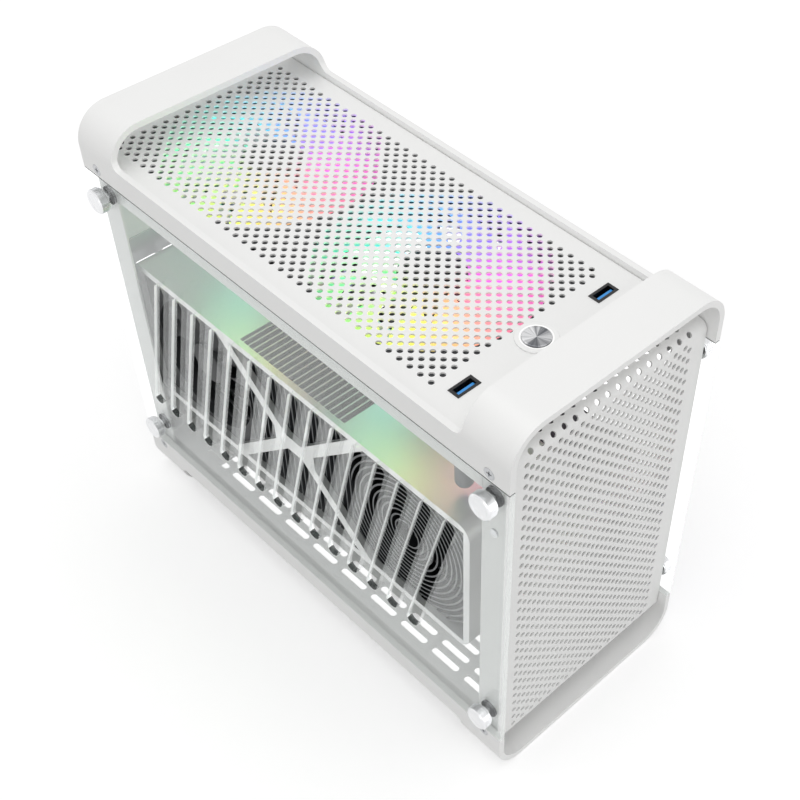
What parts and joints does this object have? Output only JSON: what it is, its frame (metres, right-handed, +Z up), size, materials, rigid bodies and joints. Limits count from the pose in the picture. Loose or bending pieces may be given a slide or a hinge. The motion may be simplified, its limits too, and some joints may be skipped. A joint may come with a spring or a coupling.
{
  "type": "mini-itx computer case",
  "caption": "Small white desktop computer case with clear glass sides, perforated top and front, carrying handles and a vertical graphics card.",
  "frame": {"origin": "on the floor under the middle of the case", "axes": "+Z up, front grille faces -Y, slotted glass panel faces -X"},
  "size_m": [0.173, 0.36, 0.304],
  "materials": {
    "white_band": "satin white powder coat on bent aluminium",
    "white_sheet": "satin white powder coat on steel sheet",
    "panel_glass": "clear, polished edges",
    "bright_screw": "turned, bright",
    "dark_rubber": "matte",
    "small_screw": "plated",
    "spun_button": "circular brushed",
    "white_ring": "satin white",
    "black_port": "matte",
    "blue_tongue": "matte",
    "grey_housing": "moulded",
    "dark_fan": "moulded",
    "lit_blades": "frosted, lit from inside",
    "silver_card": "fine blasted",
    "dark_fins": "dark anodised",
    "black_plastic": "moulded",
    "green_board": "lacquered board",
    "plated_steel": "plated",
    "black_ribbon": "flat cable",
    "brass_posts": "turned",
    "bare_fins": "mill finish",
    "grey_supply": "matt black coat",
    "black_wire": "coated wire",
    "black_lead": "sheathed"
  },
  "bodies": {
    "chassis": {"top_band": "white_band", "bottom_band": "white_band", "top_plate": "white_sheet", "front_hood": "white_sheet", "front_grille": "white_sheet", "rear_panel": "white_sheet", "base_tray": "white_sheet", "front_pillars": "white_sheet", "top_rails": "white_sheet", "divider": "white_sheet", "glass_washers": "dark_rubber", "band_screws": "small_screw", "pillar_screws": "small_screw", "button_ring": "white_ring", "usb_shells": "black_port", "usb_tongues": "blue_tongue", "usb_housings": "grey_housing", "fan_frame_rear": "dark_fan", "fan_frame_front": "dark_fan", "card_frame": "silver_card", "card_fins": "dark_fins", "card_rings": "dark_fins", "card_duct": "black_plastic", "card_backplate": "silver_card", "card_board": "green_board", "card_bracket": "plated_steel", "riser_socket": "black_plastic", "riser_ribbon": "black_ribbon", "main_board": "green_board", "board_standoffs": "brass_posts", "io_ports": "plated_steel", "io_shield": "plated_steel", "memory_modules": "black_plastic", "board_slot": "black_plastic", "cooler_fins": "bare_fins", "supply_case": "grey_supply", "supply_guard": "black_wire", "mains_inlet": "black_plastic", "mains_lead": "black_lead"},
    "glass_left_panel": {"glass_left": "panel_glass", "thumbscrews_left": "bright_screw"},
    "glass_right_panel": {"glass_right": "panel_glass", "thumbscrews_right": "bright_screw"},
    "button": {"power_button": "spun_button"},
    "top_fan_rear": {"fan_rotor_rear": "lit_blades"},
    "top_fan_front": {"fan_rotor_front": "lit_blades"},
    "card_fan_a": {"card_fan_rear": "black_plastic"},
    "card_fan_b": {"card_fan_front": "black_plastic"},
    "cooler_rotor": {"cooler_fan": "black_plastic"},
    "supply_rotor": {"supply_fan": "black_plastic"}
  },
  "joints": [
    {"name": "glass_left_lift", "type": "slide", "parent": "chassis", "child": "glass_left_panel", "axis": [-1, 0, 0], "range_m": [0, 0.06]},
    {"name": "glass_right_lift", "type": "slide", "parent": "chassis", "child": "glass_right_panel", "axis": [1, 0, 0], "range_m": [0, 0.06]},
    {"name": "power_press", "type": "slide", "parent": "chassis", "child": "button", "axis": [0, 0, -1], "range_m": [0, 0.0012], "stiffness_N_per_m": 800, "springref_m": -0.0012},
    {"name": "top_fan_rear_spin", "type": "hinge", "parent": "chassis", "child": "top_fan_rear", "pos_m": [0, 0.1008, 0.2648], "axis": [0, 0, 1], "continuous": true},
    {"name": "top_fan_front_spin", "type": "hinge", "parent": "chassis", "child": "top_fan_front", "pos_m": [0, -0.0392, 0.2648], "axis": [0, 0, 1], "continuous": true},
    {"name": "card_fan_a_spin", "type": "hinge", "parent": "chassis", "child": "card_fan_a", "pos_m": [-0.059, 0.1096, 0.141], "axis": [1, 0, 0], "continuous": true},
    {"name": "card_fan_b_spin", "type": "hinge", "parent": "chassis", "child": "card_fan_b", "pos_m": [-0.028, -0.0854, 0.141], "axis": [1, 0, 0], "continuous": true},
    {"name": "cooler_spin", "type": "hinge", "parent": "chassis", "child": "cooler_rotor", "pos_m": [0.0393, 0.0858, 0.1472], "axis": [1, 0, 0], "continuous": true},
    {"name": "supply_spin", "type": "hinge", "parent": "chassis", "child": "supply_rotor", "pos_m": [0.0417, -0.106, 0.1227], "axis": [1, 0, 0], "continuous": true}
  ]
}
